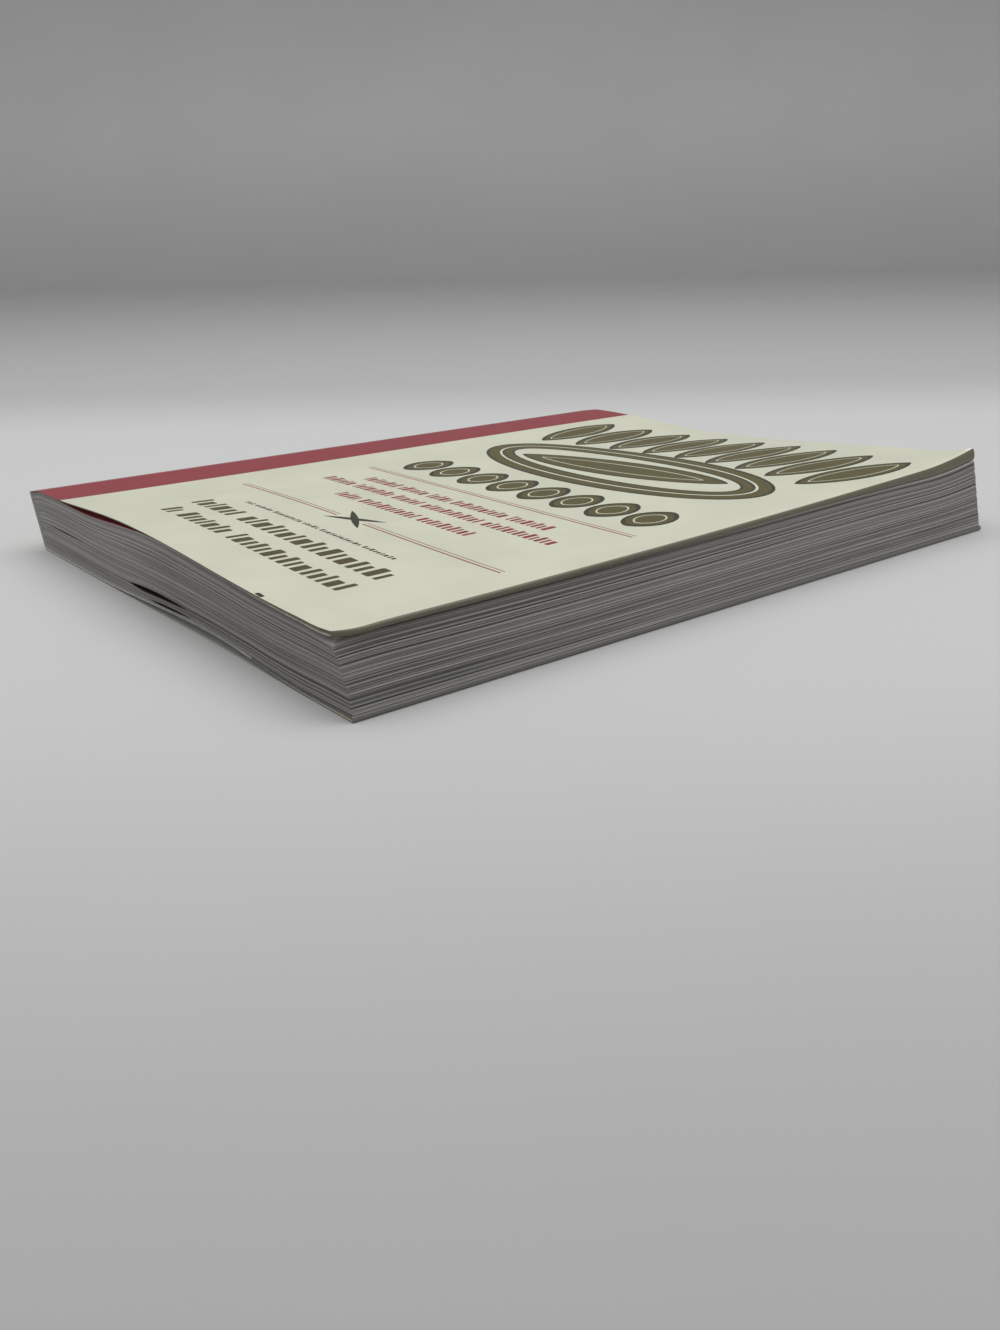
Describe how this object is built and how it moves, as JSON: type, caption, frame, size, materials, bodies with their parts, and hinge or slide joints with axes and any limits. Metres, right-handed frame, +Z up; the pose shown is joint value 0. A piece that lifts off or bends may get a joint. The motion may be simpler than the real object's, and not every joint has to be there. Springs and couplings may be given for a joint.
{
  "type": "paperback book",
  "caption": "Large thick paperback lying flat: soft cover with folded-in flaps and a coloured band along the spine, over a wavy, slightly leaning block of leaves.",
  "frame": {"origin": "on the table, under the middle of the book's bounding box", "axes": "+X from the spine to the fore edge, +Y from the tail edge to the head edge, +Z up out of the front cover"},
  "size_m": [0.1858, 0.2332, 0.0254],
  "materials": {
    "leaves": "coated paper seen on its trimmed edges, with faint colour where print bleeds off",
    "binding_glue": "hot-melt binding glue, satin",
    "spine_board": "thin cover board, printed red, satin laminate",
    "cover_board": "thin cover board, printed cream, satin laminate"
  },
  "bodies": {
    "book_block": {"page_block": "leaves", "spine_glue": "binding_glue", "spine_cover": "spine_board"},
    "front_cover": {"front_cover": "cover_board"},
    "back_cover": {"back_cover": "cover_board"}
  },
  "joints": [
    {"name": "front_cover_hinge", "type": "hinge", "parent": "book_block", "child": "front_cover", "pos_m": [-0.08463, 0, 0.0192], "axis": [-0.001, -1, 0.0056], "range_deg": [0, 170]},
    {"name": "back_cover_hinge", "type": "hinge", "parent": "book_block", "child": "back_cover", "pos_m": [-0.0813, 0, -0.00015], "axis": [0, 1, 0], "range_deg": [0, 170]}
  ]
}
